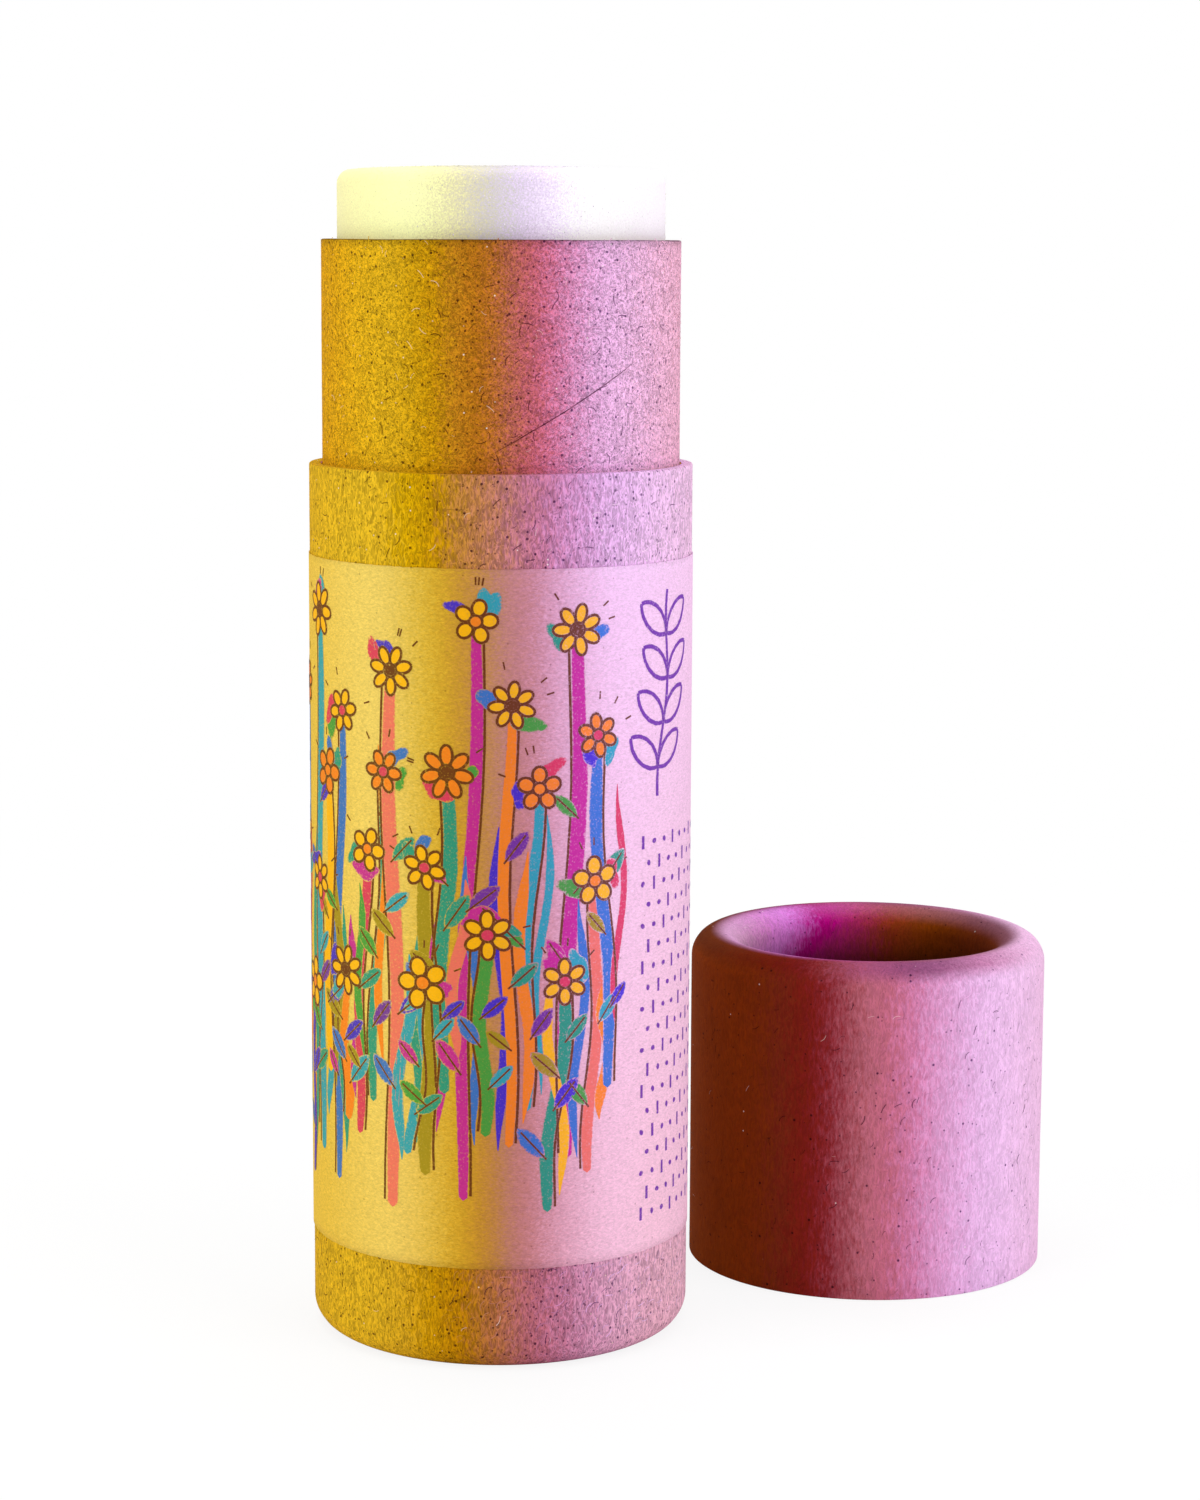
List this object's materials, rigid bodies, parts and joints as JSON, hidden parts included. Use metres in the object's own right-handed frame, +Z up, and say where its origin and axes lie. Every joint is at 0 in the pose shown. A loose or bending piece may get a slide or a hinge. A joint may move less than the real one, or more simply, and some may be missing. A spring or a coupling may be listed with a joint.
{
  "type": "push-up balm stick in a paper tube",
  "caption": "Push-up stick of pearly balm in a rolled-edge kraft paper tube with a paper label; the cap stands beside it and a pusher slides up the neck.",
  "frame": {"origin": "middle of the whole, tube and cap, on the surface that both stand on", "axes": "+Z up along the tube, -Y towards the label's front, +X to the side where the cap stands"},
  "size_m": [0.071, 0.0566, 0.107],
  "materials": {
    "kraft_tube": "matt wound kraft paper with fibres and specks",
    "kraft_neck": "matt wound kraft paper with fibres and a spiral seam",
    "label_paper": "matt recycled paper with a printed crayon pattern",
    "pearl_balm": "waxy pearl with fine glitter",
    "pressed_board": "matt pressed board",
    "kraft_cap": "matt wound kraft paper with fibres and specks",
    "cap_board": "matt board"
  },
  "bodies": {
    "tube": {"base_tube": "kraft_tube", "neck_tube": "kraft_neck", "label": "label_paper", "cap_tube": "kraft_cap", "cap_disc": "cap_board"},
    "pusher": {"push_disc": "pressed_board", "balm_stick": "pearl_balm"}
  },
  "joints": [
    {"name": "push_up", "type": "slide", "parent": "tube", "child": "pusher", "axis": [0, 0, 1], "range_m": [-0.007, 0.0858]}
  ]
}
